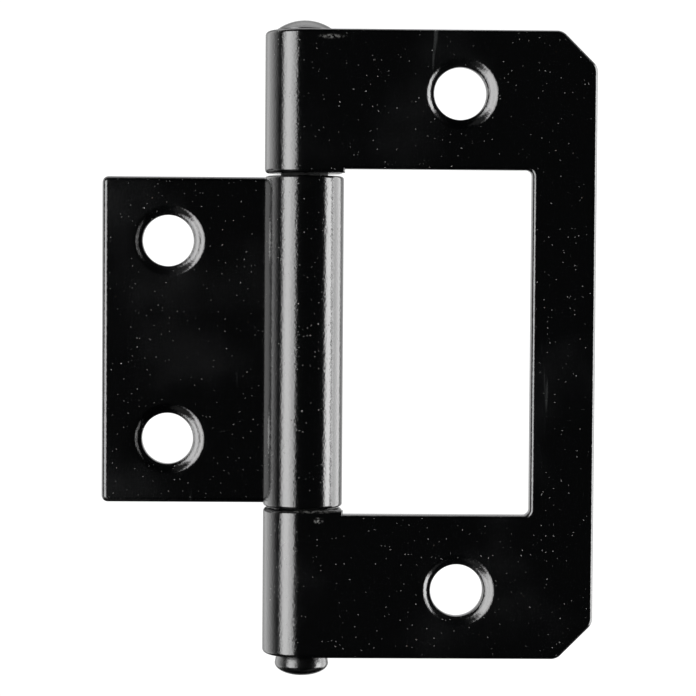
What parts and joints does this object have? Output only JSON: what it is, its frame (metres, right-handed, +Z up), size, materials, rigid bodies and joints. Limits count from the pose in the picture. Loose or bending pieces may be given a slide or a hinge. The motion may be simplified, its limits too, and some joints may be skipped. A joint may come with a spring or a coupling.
{
  "type": "flush hinge",
  "caption": "Flush door hinge laid open flat: a framed outer leaf, an inner leaf that folds into its window, and a headed pin through their rolled knuckles.",
  "frame": {"origin": "on the back (mounting) face of the outer leaf, in the middle of its outer rail, at the leaf's mid-height", "axes": "+Z up along the pin, +X from the pin towards the outer leaf's free edge, +Y out of the outer leaf's back face, into the wood it is screwed to"},
  "size_m": [0.0503, 0.0081, 0.0669],
  "materials": {
    "leaf_paint": "gloss black powder coat on steel sheet",
    "pin_paint": "gloss black powder coat on a steel pin"
  },
  "bodies": {
    "outer_leaf": {"outer_leaf": "leaf_paint", "hinge_pin": "pin_paint"},
    "inner_leaf": {"inner_leaf": "leaf_paint"}
  },
  "joints": [
    {"name": "leaf_swing", "type": "hinge", "parent": "outer_leaf", "child": "inner_leaf", "pos_m": [-0.0262, 0.00245, 0], "axis": [0, 0, 1], "range_deg": [-90, 180]}
  ]
}
